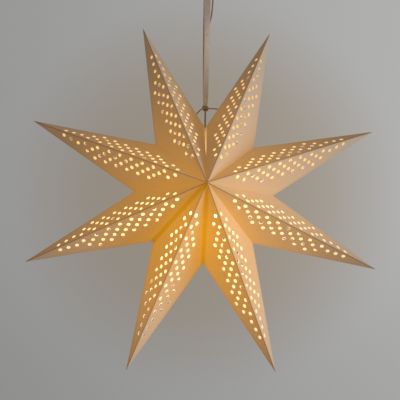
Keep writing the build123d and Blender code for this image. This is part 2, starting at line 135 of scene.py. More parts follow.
def math_node(material, operation, first, second):
    """One step of arithmetic on a number."""
    return node(material, "ShaderNodeMath", {0: first, 1: second}, operation=operation).outputs[0]


def product(material, first, *others):
    """Numbers multiplied in turn."""
    for other in others:
        first = math_node(material, "MULTIPLY", other, first)
    return first


def vector_node(material, operation, first, second=(0, 0, 0)):
    """One step of arithmetic on a place or a colour; its outputs are a vector and a number."""
    return node(material, "ShaderNodeVectorMath", {0: first, 1: second}, operation=operation).outputs


def scaled(material, color, factor):
    """A colour made darker or lighter by a factor."""
    return node(material, "ShaderNodeVectorMath", {0: color, "Scale": factor}, operation="SCALE").outputs[0]


def ramp(material, value, low, high, at_low, at_high, way="LINEAR"):
    """A number carried from one range to another, and kept inside it."""
    inputs = {"Value": value, "From Min": low, "From Max": high, "To Min": at_low, "To Max": at_high}
    return node(material, "ShaderNodeMapRange", inputs, interpolation_type=way).outputs[0]


def two_tones(material, factor, dark, light):
    """A colour between two, by a factor of 0 to 1."""
    inputs = {0: factor, 6: (*dark, 1), 7: (*light, 1)}
    return node(material, "ShaderNodeMix", inputs, data_type="RGBA").outputs[2]


# %% Patterns and bumps
def object_point(material):
    """Where a point is on the piece, in metres."""
    return node(material, "ShaderNodeTexCoord").outputs["Object"]


def noise(material, scale, detail=3.0, point=None):
    """Soft random spots, about 1/scale metres apart."""
    at = point or object_point(material)
    made = node(material, "ShaderNodeTexNoise", {"Vector": at, "Scale": scale, "Detail": detail})
    return made.outputs[0]


def waves(material, point, scale, distortion, direction):
    """Soft stripes across a direction."""
    inputs = {"Vector": point, "Scale": scale, "Distortion": distortion}
    return node(material, "ShaderNodeTexWave", inputs, bands_direction=direction).outputs[1]


def bump(material, height, distance, strength):
    """Raises the surface by a height of 0 to 1 times the distance."""
    made = node(material, "ShaderNodeBump", {"Height": height, "Distance": distance, "Strength": strength})
    to_shader(material, "Normal", made.outputs[0])


# %% [markdown]
# ## Helpers for meshes
# A piece is drawn as a bmesh and then becomes an object at the origin. Shapes that are drawn one by one
# are joined into one bmesh by way of a mesh, because a bmesh takes in meshes and not another bmesh.

# %% Pieces
SHARP = math.radians(50)


def new_object(name, data):
    """An object in the scene that shows a mesh, a curve or a light."""
    made = bpy.data.objects.new(name, data)
    bpy.context.scene.collection.objects.link(made)
    return made


def new_piece(name, made, *materials):
    """A piece from a bmesh, at the origin."""
    mesh = bpy.data.meshes.new(name)
    made.to_mesh(mesh)
    made.free()
    for material in materials:
        mesh.materials.append(material)
    return new_object(name, mesh)


def join(whole, part):
    """Adds one bmesh to another and frees it."""
    passed = bpy.data.meshes.new("passed")
    part.to_mesh(passed)
    part.free()
    whole.from_mesh(passed)
    bpy.data.meshes.remove(passed)


def smooth(piece, sharp=None):
    """Smooth shading, where edges sharper than an angle stay edges."""
    piece.data.polygons.foreach_set("use_smooth", [True] * len(piece.data.polygons))
    if sharp:
        piece.data.set_sharp_from_angle(angle=sharp)


# %% [markdown]
# ## Lead
# A thin two-core lead comes out of the rose, runs down beside the hook, slips in between the two plies
# of the ribbon and goes through the knot and the open seam to the lamp holder. A row of cylinders would
# show every bend, so the lead is a smooth curve through the route's points, made a mesh tube. It
# crosses two joints, so it is three tubes: one at the hook, one below it, and one that hangs in the
# star.

# %% Lead finish
LEAD_DARK, LEAD_LIGHT = (0.40, 0.335, 0.22), (0.50, 0.43, 0.29)

lead_finish = finish("lead_sheath", (0.45, 0.38, 0.25), 0.45, Specular_IOR_Level=0.4)
lead_spots = noise(lead_finish, scale=900)
to_shader(lead_finish, "Base Color", two_tones(lead_finish, lead_spots, LEAD_DARK, LEAD_LIGHT))
to_shader(lead_finish, "Roughness", ramp(lead_finish, lead_spots, *NOISE_SPREAD, at_low=0.38, at_high=0.55))
bump(lead_finish, noise(lead_finish, scale=2600), distance=0.0001, strength=0.5)
print(lead_finish.name, "nodes", len(lead_finish.node_tree.nodes))

# %% Lead and cord tubes
LINE_STEPS, ROUND_STEPS = 16, 4


def cord_curve(name, points, diameter):
    """A smooth cord through its route's points, as a curve object."""
    curve = bpy.data.curves.new(name, "CURVE")
    curve.dimensions = "3D"
    curve.resolution_u = LINE_STEPS
    spline = curve.splines.new("NURBS")
    spline.points.add(len(points) - 1)
    for target, point in zip(spline.points, points):
        target.co = (*point, 1)
    spline.order_u = 3
    spline.use_endpoint_u = True
    curve.bevel_depth = diameter / 2
    curve.bevel_resolution = ROUND_STEPS
    curve.use_fill_caps = True
    return new_object(name, curve)


def curve_mesh(made):
    """The mesh that a curve shows."""
    bpy.context.view_layer.update()
    return bpy.data.meshes.new_from_object(made.evaluated_get(bpy.context.evaluated_depsgraph_get()))


def cord_tube(name, points, diameter, material):
    """A cord as a mesh tube, and the points of the line that it follows."""
    curve = cord_curve(name + "_line", points, diameter)
    tube = new_object(name, curve_mesh(curve))
    curve.data.bevel_depth = 0
    line = curve_mesh(curve)
    path = [tuple(v.co) for v in line.vertices]
    bpy.data.meshes.remove(line)
    bpy.data.objects.remove(curve)
    tube.data.materials.clear()
    tube.data.materials.append(material)
    smooth(tube)
    return tube, path


def path_length(path):
    """Length of a line through points."""
    return sum((Vector(b) - Vector(a)).length for a, b in zip(path, path[1:]))


# %% Lead in three tubes
WIRE_Z = -0.053
KNOT_TOP, KNOT_BOTTOM = -0.2505, -0.2595
LEAD = 0.0028
GROMMET = (0.014, 0.012)
BESIDE_HOOK = (0.0108, 0.0064, WIRE_Z)
BETWEEN_PLIES = (0.0046, 0.0002, WIRE_Z - 0.053)

lead_entry_points = [
    (*GROMMET, -0.020), (*GROMMET, -0.036), (0.0114, 0.0078, WIRE_Z + 0.010), BESIDE_HOOK,
]
lead_upper_points = [
    BESIDE_HOOK, (0.0099, 0.0043, WIRE_Z - 0.015), (0.0092, 0.0024, WIRE_Z - 0.027),
    (0.0078, 0.0009, WIRE_Z - 0.039), BETWEEN_PLIES, (0.0014, 0, WIRE_Z - 0.069),
    (0, 0, WIRE_Z - 0.093), (0, 0, KNOT_TOP + 0.0003),
]
lead_lower_points = [(0, 0, KNOT_TOP), (0, 0, STAR.z + 0.098), (0, 0, STAR.z + 0.051)]
lead_entry, entry_path = cord_tube("lead_at_rose", lead_entry_points, LEAD, lead_finish)
lead_upper, upper_path = cord_tube("lead_in_ribbon", lead_upper_points, LEAD, lead_finish)
lead_lower, lower_path = cord_tube("lead_in_star", lead_lower_points, LEAD, lead_finish)
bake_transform(lead_entry)
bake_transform(lead_upper)
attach(lead_lower, "star")
for tube, path, cad_node in (
    (lead_entry, entry_path, "lead_entry"), (lead_upper, upper_path, "lead_upper"),
    (lead_lower, lower_path, "lead_lower"),
):
    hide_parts(cad_node)
    print(tube.name, "length", round(path_length(path), 4))

# %% [markdown]
# ## Paper
# The real shade is thin pale card, and the lamp shines through it in deep orange. A translucent shader
# round a lit lamp would glow by itself, but slowly and with much noise, so the glow is painted light,
# an emission that follows what decides it on the real star. The lamp hangs a little below the middle,
# so the light fades slowly outwards, is strongest in the lowest points, and has painted shade above,
# where the lamp holder is in the way, and along the glued ridges and the side edges. In the lower
# valleys on the left little daylight gets in, so shade is painted into the card's colour there, and
# only the lamp's deep yellow is left. The card is also painted darker near the middle on that side and
# along the ridges. One finish is for the outside, and a brighter one for the inside, which is what
# shows through the punched holes; its glow is painted lamplight too.

# %% Measures that the paper finishes share
LAMP = Vector((0, 0, STAR.z - 0.028))
SHADE_ANGLE = math.radians(23)
DOWN, SHADED_SIDE = (0, 0, -1), (-math.sin(SHADE_ANGLE), 0, -math.cos(SHADE_ANGLE))
FRONT_PLANE = (1, 0, 1)


def lamp_distance(material):
    """How far a point of the paper is from the lamp, in metres."""
    return vector_node(material, "DISTANCE", object_point(material), LAMP)["Value"]


def height_in_star(material):
    """Height above the lamp as a share of the distance from it, from -1 to 1."""
    height = node(material, "ShaderNodeSeparateXYZ", {0: object_point(material)}).outputs["Z"]
    rise = math_node(material, "SUBTRACT", height, LAMP.z)
    return math_node(material, "DIVIDE", rise, lamp_distance(material))


def turned_to(material, direction):
    """How near a point lies to a direction from the star's middle, seen from the front: 1 is along it."""
    flat = vector_node(material, "MULTIPLY", object_point(material), FRONT_PLANE)[0]
    reach = vector_node(material, "SUBTRACT", flat, STAR)[0]
    aim = vector_node(material, "NORMALIZE", reach)[0]
    return vector_node(material, "DOT_PRODUCT", aim, direction)["Value"]


def crease(material, layer, axis):
    """Distance from a fold or edge of the paper, kept with the mesh, in metres."""
    stored = node(material, "ShaderNodeUVMap", uv_map=layer).outputs[0]
    return node(material, "ShaderNodeSeparateXYZ", {0: stored}).outputs[axis]


def fading(material, reach, power):
    """Light that fades with the distance from the lamp and is 1 at the reach."""
    near = math_node(material, "DIVIDE", reach, lamp_distance(material))
    return math_node(material, "POWER", near, power)


def light_up(material, strength):
    """Paints light into a finish as a glow, by a strength that differs from place to place."""
    to_shader(material, "Emission Strength", strength)
    material.cycles.emission_sampling = "NONE"


# %% Glow of the paper
# A ramp is given as where it begins and ends, and what it is worth at both.
DEEP_ORANGE = (1.0, 0.40, 0.004, 1)
GLOW, GLOW_REACH, GLOW_FADE = 0.515, 0.05, 0.42
TO_THE_TIPS, LOWEST_POINTS = (0.16, 0.26, 1.0, 0.66), (0.45, 0.90, 1.0, 1.19)
UPWARDS = (-1.0, 1.0, 1.18, 0.82)
ABOVE_HOLDER, NEAR_HOLDER = (-0.98, -0.85, 0.34, 0.0), (0.10, 0.17, 1.0, 0.0)
PAINTED_RIDGE_SHADE, SIDE_EDGE = (0.0006, 0.0018), (0.0, 0.005, 0.84, 1.0)
VALLEY_STRIP, VALLEY_SIDE = (0.0025, 0.0085, 0.92, 0.0), (0.40, 0.90, 0.06, 1.0)
VALLEY_GLOW = (0.0, 1.0, 1.0, 1.04)

outer_paper = finish(
    "paper_outside", (0.51, 0.48, 0.42), 0.85, Specular_IOR_Level=0.2, Emission_Color=DEEP_ORANGE
)
from_ridge, from_edge = crease(outer_paper, "ridge_edge", 0), crease(outer_paper, "ridge_edge", 1)
from_valley = crease(outer_paper, "valley", 0)
from_lamp, height = lamp_distance(outer_paper), height_in_star(outer_paper)
down, unlit = turned_to(outer_paper, DOWN), turned_to(outer_paper, SHADED_SIDE)
# Painted shadow of the lamp holder: the glow is weaker near the top seam, close to the lamp.
holder_shade = product(
    outer_paper, ramp(outer_paper, down, *ABOVE_HOLDER), ramp(outer_paper, from_lamp, *NEAR_HOLDER)
)
# Painted shade in the lower valleys on the side away from the daylight; it darkens the card and makes the
# glow a little stronger there.
valley_shade = product(
    outer_paper, ramp(outer_paper, from_valley, *VALLEY_STRIP), ramp(outer_paper, unlit, *VALLEY_SIDE)
)
# The glow is painted light that fades from the lamp, with painted shade under the holder, along the ridges
# and at the side edges.
light_up(outer_paper, product(
    outer_paper, GLOW, fading(outer_paper, GLOW_REACH, GLOW_FADE),
    ramp(outer_paper, from_lamp, *TO_THE_TIPS),
    ramp(outer_paper, down, *LOWEST_POINTS),
    ramp(outer_paper, height, *UPWARDS),
    math_node(outer_paper, "SUBTRACT", 1.0, holder_shade),
    ramp(outer_paper, from_ridge, *PAINTED_RIDGE_SHADE, at_low=0.60, at_high=1.0),
    ramp(outer_paper, from_edge, *SIDE_EDGE),
    ramp(outer_paper, valley_shade, *VALLEY_GLOW),
    ramp(outer_paper, noise(outer_paper, scale=260, detail=4), *NOISE_SPREAD, at_low=0.96, at_high=1.04),
))
print(outer_paper.name, "nodes", len(outer_paper.node_tree.nodes))

# %% Tone of the paper, with painted shade
CARD_DARK, CARD_LIGHT = (0.47, 0.44, 0.38), (0.55, 0.52, 0.46)
HOLLOW_SIDE, NEAR_MIDDLE = (0.1, 0.9, 0.0, 0.36), (0.08, 0.20, 1.0, 0.0)

fibres = noise(outer_paper, scale=1500, detail=6)
card_tone = two_tones(outer_paper, fibres, CARD_DARK, CARD_LIGHT)
# Painted shade: the card's colour is darker near the middle on the side away from the daylight, in the
# lower valleys there and along the ridges.
hollow_shade = product(
    outer_paper, ramp(outer_paper, unlit, *HOLLOW_SIDE), ramp(outer_paper, from_lamp, *NEAR_MIDDLE)
)
deepest_shade = math_node(outer_paper, "MAXIMUM", valley_shade, hollow_shade)
painted_daylight_share = product(
    outer_paper, ramp(outer_paper, from_ridge, *PAINTED_RIDGE_SHADE, at_low=0.55, at_high=1.0),
    math_node(outer_paper, "SUBTRACT", 1.0, deepest_shade),
)
to_shader(outer_paper, "Base Color", scaled(outer_paper, card_tone, painted_daylight_share))
bump(outer_paper, fibres, distance=0.0002, strength=0.6)
print(outer_paper.name, "nodes", len(outer_paper.node_tree.nodes))

# %% Inside of the paper
LIT_BELOW, LIT_ABOVE = (1.0, 0.78, 0.46), (0.80, 0.54, 0.25)
INNER_GLOW, INNER_REACH, INNER_FADE = 0.75, 0.12, 0.6
INNER_UPWARDS = (-0.2, 0.8, 0.0, 1.0)
INNER_DARK, INNER_LIGHT = (0.57, 0.49, 0.35), (0.63, 0.55, 0.41)

inner_paper = finish("paper_inside", (0.60, 0.52, 0.38), 0.9, Specular_IOR_Level=0.1)
# Painted lamplight on the inside: paler below the lamp, deeper orange above, fading away from it.
upwards = ramp(inner_paper, height_in_star(inner_paper), *INNER_UPWARDS)
to_shader(inner_paper, "Emission Color", two_tones(inner_paper, upwards, LIT_BELOW, LIT_ABOVE))
light_up(inner_paper, product(inner_paper, INNER_GLOW, fading(inner_paper, INNER_REACH, INNER_FADE)))
inner_fibres = noise(inner_paper, scale=1500, detail=6)
to_shader(inner_paper, "Base Color", two_tones(inner_paper, inner_fibres, INNER_DARK, INNER_LIGHT))
print(inner_paper.name, "nodes", len(inner_paper.node_tree.nodes))

# %% [markdown]
# ## Points of the star
# A point is two sheets of card glued along its front and back ridges, and each sheet is creased at the
# point's side edge, so a point has four flat triangles. Cutting a thousand holes with booleans would be
# slow and would leave ragged faces. Instead a triangle is drawn flat as an outline with circles in it,
# filled, and then stood in its place. Solidify gives the card its thickness. A few of the punched discs
# still hang in their holes.

# %% Sizes of the star
POINTS, TIP_RADIUS, VALLEY_RADIUS, HALF_DEPTH, PAPER = 8, 0.300, 0.112, 0.080, 0.0005
SEAM_WIDTH, SEAM_CLOSED, END_LEAN = 0.004, 0.42, math.radians(2.4)
VALLEY_LAP, APEX_HOLE = 0.00005, 0.0004

seam_half = math.asin(SEAM_WIDTH / 2 / VALLEY_RADIUS)
pitch = (2 * math.pi - 2 * seam_half) / POINTS
valley_angles = [math.pi / 2 + seam_half + pitch * i for i in range(POINTS + 1)]
tip_angles = [angle + pitch / 2 for angle in valley_angles[:-1]]
tip_angles[0] -= END_LEAN
tip_angles[-1] += END_LEAN
print("angle of a point", round(math.degrees(pitch), 2))

# %% Rows of holes
# A row is given as where its first hole is along and across the ridge, the step to the next, and how many.
HOLE, FULL_ROWS, FULL_ROW_PITCH = 0.006, 6, 0.01945
INNER_ROW, FULL_ROW = (0.0527, 0.0073, 0.0115, 0.0087, 2), (0.0713, 0.0071, 0.0085, 0.0072, 4)
OUTER_ROWS = [
    (0.1899, 0.0078, 0.0092, 0.0061, 3), (0.2123, 0.0081, 0.0132, 0.0031, 2), (0.2388, 0.0085, 0, 0, 1),
    (0.2519, 0.0063, 0, 0, 1),
]
TIE_REACH, TIE_INSET, TIE_HOLE = {"left": 0.024, "right": 0.040}, 0.009, 0.0026

full_rows = [(FULL_ROW[0] + row * FULL_ROW_PITCH, *FULL_ROW[1:]) for row in range(FULL_ROWS)]
hole_rows = [INNER_ROW, *full_rows, *OUTER_ROWS]
print("holes in a triangle", sum(row[-1] for row in hole_rows))


# %% Places in the star
def around(radius, angle):
    """A point of the star's middle plane."""
    return STAR + Vector((radius * math.cos(angle), 0, radius * math.sin(angle)))


def point_body(number):
    """The body that carries a point; the first one stays with the lamp holder."""
    return "star" if number == 1 else f"point_{number}"


class Triangle:
    """One flat triangle of a point, with its own directions along and across the ridge."""

    def __init__(self, side, tip, valley):
        self.apex = STAR + Vector((0, side * HALF_DEPTH, 0))
        self.along = (tip - self.apex).normalized()
        self.length = (tip - self.apex).length
        reach = valley - self.apex
        self.u = reach.dot(self.along)
        self.across = (reach - self.along * self.u).normalized()
        self.v = reach.dot(self.across)
        self.outward = self.along.cross(self.across)
        self.turned = self.outward.y * side < 0
        if self.turned:
            self.outward.negate()

    def place(self):
        """The matrix that stands the flat triangle in its place."""
        turn = Matrix((self.along, self.across, self.outward)).transposed()
        return Matrix.Translation(self.apex) @ turn.to_4x4()

    def from_valley(self, u, v):
        """Distance of a flat point from the valley fold."""
        return (self.v * u - self.u * v) / math.hypot(self.u, self.v)

    def from_edge(self, u, v):
        """Distance of a flat point from the side edge."""
        run = self.length - self.u
        return ((self.length - u) * self.v - run * v) / math.hypot(run, self.v)

    def holes(self):
        """Middles of the punched holes, in slanted rows that start beside the ridge."""
        return [
            (along + i * step_along, across + i * step_across)
            for along, across, step_along, step_across, count in hole_rows
            for i in range(count)
        ]

    def tie_hole(self, reach):
        """Where a tie cord goes through the back triangle of an end point."""
        edge = Vector((self.length - self.u, -self.v)).normalized()
        return Vector((self.u, self.v)) + edge * reach + Vector((edge.y, -edge.x)) * TIE_INSET

    def corners(self, seam):
        """Corners of the flat triangle, with one more where the open seam begins."""
        valley, tip = Vector((self.u, self.v, 0)), Vector((self.length, 0, 0))
        edge = tip - valley
        corners = [
            Vector((APEX_HOLE / 2, 0, 0)), tip,
            valley - edge.normalized() * VALLEY_LAP, valley.normalized() * (APEX_HOLE / 2),
        ]
        if seam:
            inward = Vector((-self.v, self.u, 0)).normalized()
            shift = SEAM_WIDTH / 2 * SEAM_CLOSED / abs(self.across.x)
            corners.insert(3, valley * SEAM_CLOSED + inward * shift)
        return corners


# %% Drawing a triangle of card
HOLE_SIDES, DISC_SIDES = 20, 14
HANGING_SHARE, DISC_SHARE, HINGE_SHARE = 0.06, 0.92, 0.95
DISC_DEPTH, DISC_LEAN, ALL_ROUND = 0.0003, (0.5, 1.0), 6.28


def hang_disc(flat, chance, u, v, radius):
    """A punched disc that leans in its hole and hangs by a spot on the rim."""
    hinge = Matrix.Rotation(chance.uniform(0, ALL_ROUND), 4, "Z")
    lean = Matrix.Rotation(chance.uniform(*DISC_LEAN), 4, "Y")
    slid = Matrix.Translation((-radius * HINGE_SHARE, 0, 0))
    to_rim = Matrix.Translation((radius * HINGE_SHARE, 0, 0))
    place = Matrix.Translation((u, v, -DISC_DEPTH)) @ hinge @ slid @ lean @ to_rim
    bmesh.ops.create_circle(
        flat, segments=DISC_SIDES, radius=radius * DISC_SHARE, cap_ends=True, matrix=place
    )


def keep_measures(flat, triangle):
    """Keeps each point's distances from the ridge, the side edge and the valley with the mesh."""
    ridge_edge = flat.loops.layers.uv.new("ridge_edge")
    valley = flat.loops.layers.uv.new("valley")
    for face in flat.faces:
        for loop in face.loops:
            u, v, _ = loop.vert.co
            loop[ridge_edge].uv = (v, triangle.from_edge(u, v))
            loop[valley].uv = (triangle.from_valley(u, v), 0)


def draw_triangle(shell, triangle, chance, seam, tie_reach=None):
    """Draws a triangle of card with its holes and adds it to the shell of its point."""
    flat = bmesh.new()
    outline = [flat.verts.new(corner) for corner in triangle.corners(seam)]
    for first, second in zip(outline, outline[1:] + outline[:1]):
        flat.edges.new((first, second))
    punched = [(u, v, HOLE / 2) for u, v in triangle.holes()]
    tied = [(*triangle.tie_hole(tie_reach), TIE_HOLE / 2)] if tie_reach else []
    for u, v, radius in punched + tied:
        middle = Matrix.Translation((u, v, 0))
        bmesh.ops.create_circle(flat, segments=HOLE_SIDES, radius=radius, matrix=middle)
    bmesh.ops.triangle_fill(flat, edges=flat.edges[:], use_beauty=True, normal=(0, 0, 1))
    for u, v, radius in punched:
        if chance.random() < HANGING_SHARE:
            hang_disc(flat, chance, u, v, radius)
    for face in flat.faces:
        if face.normal.z < 0:
            face.normal_flip()
    keep_measures(flat, triangle)
    bmesh.ops.transform(flat, matrix=triangle.place(), verts=flat.verts[:])
    if triangle.turned:
        bmesh.ops.reverse_faces(flat, faces=flat.faces[:])
    join(shell, flat)


# %% Eight points
MERGE = 0.00001


def thicken(name, shell):
    """A piece of card from a shell; its inner side and its cut edges get the inside finish."""
    draft = new_piece(name, shell, outer_paper, inner_paper)
    card = draft.modifiers.new("card", "SOLIDIFY")
    card.thickness, card.offset, card.use_even_offset = PAPER, -1, True
    card.material_offset = 1
    card.material_offset_rim = 1
    bpy.context.view_layer.update()
    depsgraph = bpy.context.evaluated_depsgraph_get()
    solid = bpy.data.meshes.new_from_object(
        draft.evaluated_get(depsgraph), preserve_all_data_layers=True, depsgraph=depsgraph
    )
    bpy.data.objects.remove(draft)
    return new_object(name, solid)


chance = random.Random(11)
for number in range(1, POINTS + 1):
    tip_angle = tip_angles[number - 1]
    tip = around(TIP_RADIUS, tip_angle)
    shell = bmesh.new()
    for angle, letter in ((valley_angles[number - 1], "a"), (valley_angles[number], "b")):
        tied = {(1, "a"): "left", (POINTS, "b"): "right"}.get((number, letter))
        valley = around(VALLEY_RADIUS, angle)
        draw_triangle(shell, Triangle(-1, tip, valley), chance, tied)
        draw_triangle(shell, Triangle(1, tip, valley), chance, tied, TIE_REACH.get(tied))
    bmesh.ops.remove_doubles(shell, verts=shell.verts[:], dist=MERGE)
    point = thicken(f"point_{number}_paper", shell)
    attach(point, point_body(number))
    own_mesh(point)
    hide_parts(f"point_{number}_sheet_a", f"point_{number}_sheet_b")
    print(point.name, "faces", len(point.data.polygons))

# %% [markdown]
# ## Ribbon
# The ribbon is a woven band, doubled over the hook, and its two plies run down to the knot with the
# lead between them. Cloth simulation would make it sway, but it hangs taut, so each ply is a fine grid
# that is shaped by its height: it twists a little, narrows to two thirds of its width, and is gathered
# into the knot at its foot. The weave is a pattern of threads across and along the band.

# %% Ribbon finish
WEAVE_DARK, WEAVE_LIGHT = (0.72, 0.57, 0.42), (0.90, 0.74, 0.56)
LAMPLIGHT, LAMPLIT, LAMPLIT_REACH = (1.0, 0.66, 0.28, 1), 0.075, (0.17, 0.36, 1.0, 0.15)
THREAD_SHARE, WEAVE_SPREAD = 0.6, (0.3, 1.1)

ribbon_finish = finish("woven_ribbon", (0.72, 0.58, 0.44), 0.8, Sheen_Weight=0.15, Emission_Color=LAMPLIGHT)
woven = node(ribbon_finish, "ShaderNodeUVMap", uv_map="band").outputs[0]
weft = waves(ribbon_finish, woven, scale=320.0, distortion=0.6, direction="Y")
warp = waves(ribbon_finish, woven, scale=420.0, distortion=0.4, direction="X")
threads = product(ribbon_finish, weft, warp, THREAD_SHARE)
weave = math_node(ribbon_finish, "ADD", threads, noise(ribbon_finish, scale=120))
weave_tone = ramp(ribbon_finish, weave, *WEAVE_SPREAD, at_low=0.0, at_high=1.0)
to_shader(ribbon_finish, "Base Color", two_tones(ribbon_finish, weave_tone, WEAVE_DARK, WEAVE_LIGHT))
# Painted lamplight: a faint warm glow on the ribbon, strongest near the star and fading towards the hook.
painted_lamplight = ramp(ribbon_finish, lamp_distance(ribbon_finish), *LAMPLIT_REACH)
light_up(ribbon_finish, product(ribbon_finish, LAMPLIT, painted_lamplight))
bump(ribbon_finish, weave, distance=0.00015, strength=0.7)
print(ribbon_finish.name, "nodes", len(ribbon_finish.node_tree.nodes))

# %% Ribbon plies
RIBBON_TOP, RIBBON_KNOT, RIBBON_THICKNESS = 0.012, 0.008, 0.0004
BIGHT_INNER, BIGHT_LEG, BORE = 0.0023, 0.0066, 0.0017
PLY_TOP, PLY_FOOT = WIRE_Z - BIGHT_LEG, KNOT_TOP - 0.0022
GATHERED_PART, GATHERED_WIDTH, PLEATS, PLEAT = 0.09, 0.0048, 3, 0.0005
TWIST, CUP = math.radians(24), 0.0004
CELLS_ACROSS, CELLS_ALONG = 8, 90


def band_uv(band, along, across):
    """Keeps the distance across and along a band with its mesh, in metres."""
    layer = band.loops.layers.uv.new("band")
    for face in band.faces:
        for loop in face.loops:
            loop[layer].uv = (across(loop.vert.co), along(loop.vert.co))


def ply_point(side, across, down):
    """Where a point of a ply hangs, by its place across the band and the share of its way down."""
    gather = max(0.0, 1 - (1 - down) / GATHERED_PART) ** 2
    width = RIBBON_TOP + (RIBBON_KNOT - RIBBON_TOP) * down + (GATHERED_WIDTH - RIBBON_KNOT) * gather
    depth = BIGHT_INNER + (BORE - BIGHT_INNER) * down
    turn = TWIST * math.sin(math.pi * down) ** 2
    cup = CUP * (1 - (2 * across) ** 2) * math.sin(math.pi * down)
    pleat = PLEAT * gather * math.cos(2 * PLEATS * math.pi * across)
    x, y = across * width, side * (depth + cup + pleat)
    z = PLY_TOP + (PLY_FOOT - PLY_TOP) * down
    return (x * math.cos(turn) - y * math.sin(turn), x * math.sin(turn) + y * math.cos(turn), z)


plies = bmesh.new()
for side in (-1, 1):
    strip = bmesh.new()
    bmesh.ops.create_grid(strip, x_segments=CELLS_ACROSS, y_segments=CELLS_ALONG, size=0.5)
    band_uv(strip, lambda co: co.y * (PLY_TOP - PLY_FOOT), lambda co: co.x * RIBBON_TOP)
    for vert in strip.verts:
        vert.co = ply_point(side, vert.co.x, 0.5 - vert.co.y)
    if side > 0:
        bmesh.ops.reverse_faces(strip, faces=strip.faces[:])
    bmesh.ops.solidify(strip, geom=strip.faces[:], thickness=-RIBBON_THICKNESS)
    bmesh.ops.recalc_face_normals(strip, faces=strip.faces[:])
    join(plies, strip)

ribbon = new_piece("ribbon_band", plies, ribbon_finish)
smooth(ribbon, SHARP)
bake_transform(ribbon)
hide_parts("ribbon")

# %% [markdown]
# ## Ribbon over the hook
# At the top the ribbon goes over the hook's wire. It could be part of the plies, but it sits on the
# hook while they swing below it, so it is a piece of its own. A strip is spun half round the wire, and
# its two ends are drawn down in short steps to where the plies begin.

# %% Bight
LEG_STEPS, BEND_STEPS = 6, 16

bight = bmesh.new()
first = [
    bight.verts.new((x * RIBBON_TOP / CELLS_ACROSS - RIBBON_TOP / 2, -BIGHT_INNER, WIRE_Z))
    for x in range(CELLS_ACROSS + 1)
]
rows = [bight.edges.new(pair) for pair in zip(first, first[1:])]
spun = bmesh.ops.spin(
    bight, geom=first + rows, cent=(0, 0, WIRE_Z), axis=(1, 0, 0), angle=-math.pi, steps=BEND_STEPS,
    use_merge=False,
)
last = [e for e in spun["geom_last"] if isinstance(e, bmesh.types.BMEdge)]
for end in (rows, last):
    for _ in range(LEG_STEPS):
        drawn = bmesh.ops.extrude_edge_only(bight, edges=end)["geom"]
        end = [e for e in drawn if isinstance(e, bmesh.types.BMEdge)]
        for vert in (v for v in drawn if isinstance(v, bmesh.types.BMVert)):
            vert.co.z -= BIGHT_LEG / LEG_STEPS
bmesh.ops.remove_doubles(bight, verts=bight.verts[:], dist=MERGE)
bmesh.ops.recalc_face_normals(bight, faces=bight.faces[:])
band_uv(bight, lambda co: co.z, lambda co: co.x)
bmesh.ops.solidify(bight, geom=bight.faces[:], thickness=-RIBBON_THICKNESS)
bight_piece = new_piece("ribbon_over_hook", bight, ribbon_finish)
smooth(bight_piece, SHARP)
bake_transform(bight_piece)
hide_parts("ribbon_bight")

# %% [markdown]
# ## Knot and tie cords
# The ribbon ends in a knot round the lead: a few tight turns with one band drawn across them. A plain
# ball would look like a bead, so each turn is an oval spun upwards round the lead, like a screw. Two
# thin cords go from the knot to the two points beside the seam, where each goes through a hole in the
# back of the paper and ends in a stopper knot of three crossed rings. When the star is folded the right
# cord lies flat with its point, and the left one stays on the knot.

# %% Tie cord finish
CORD_DARK, CORD_LIGHT = (0.40, 0.29, 0.14), (0.60, 0.45, 0.24)

cord_finish = finish("twisted_cord", (0.50, 0.37, 0.19), 0.75, Sheen_Weight=0.1)
strands = waves(cord_finish, object_point(cord_finish), scale=260.0, distortion=1.0, direction="DIAGONAL")
to_shader(cord_finish, "Base Color", two_tones(cord_finish, strands, CORD_DARK, CORD_LIGHT))
bump(cord_finish, strands, distance=0.0002, strength=0.8)
print(cord_finish.name, "nodes", len(cord_finish.node_tree.nodes))

# %% Turns of cord
OVAL_SIDES, UPRIGHT, ORIGIN = 12, (0, 0, 1), (0, 0, 0)


def oval(made, radius, height, half_width, half_height):
    """An oval section beside the upright axis, ready to be spun."""
    section = bmesh.ops.create_circle(made, segments=OVAL_SIDES, radius=1.0)["verts"]
    bmesh.ops.rotate(made, verts=section, matrix=Matrix.Rotation(math.pi / 2, 3, "X"))
    bmesh.ops.scale(made, verts=section, vec=(half_width, 1, half_height))
    bmesh.ops.translate(made, verts=section, vec=(radius, 0, height))
    return section + list({edge for vert in section for edge in vert.link_edges})


def tilted_ring(radius, half_width, half_height, steps, tilt, axis):
    """A closed ring of cord round the origin, tilted about an axis."""
    ring = bmesh.new()
    section = oval(ring, radius, 0, half_width, half_height)
    bmesh.ops.spin(
        ring, geom=section, cent=ORIGIN, axis=UPRIGHT, angle=2 * math.pi, steps=steps, use_merge=True
    )
    bmesh.ops.rotate(ring, verts=ring.verts[:], matrix=Matrix.Rotation(math.radians(tilt), 3, axis))
    bmesh.ops.recalc_face_normals(ring, faces=ring.faces[:])
    return ring


# %% Knot
KNOT_MIDDLE = (KNOT_TOP + KNOT_BOTTOM) / 2
KNOT_TURNS, KNOT_STEPS, KNOT_RISE = 2.6, 62, 0.0058
WRAP_RADIUS, WRAP_HALF_WIDTH, WRAP_HALF_HEIGHT = 0.0037, 0.0014, 0.0016
BAND_RADIUS, BAND_HALF_WIDTH, BAND_HALF_HEIGHT, BAND_STEPS, BAND_TILT = 0.0046, 0.0010, 0.0015, 28, 34

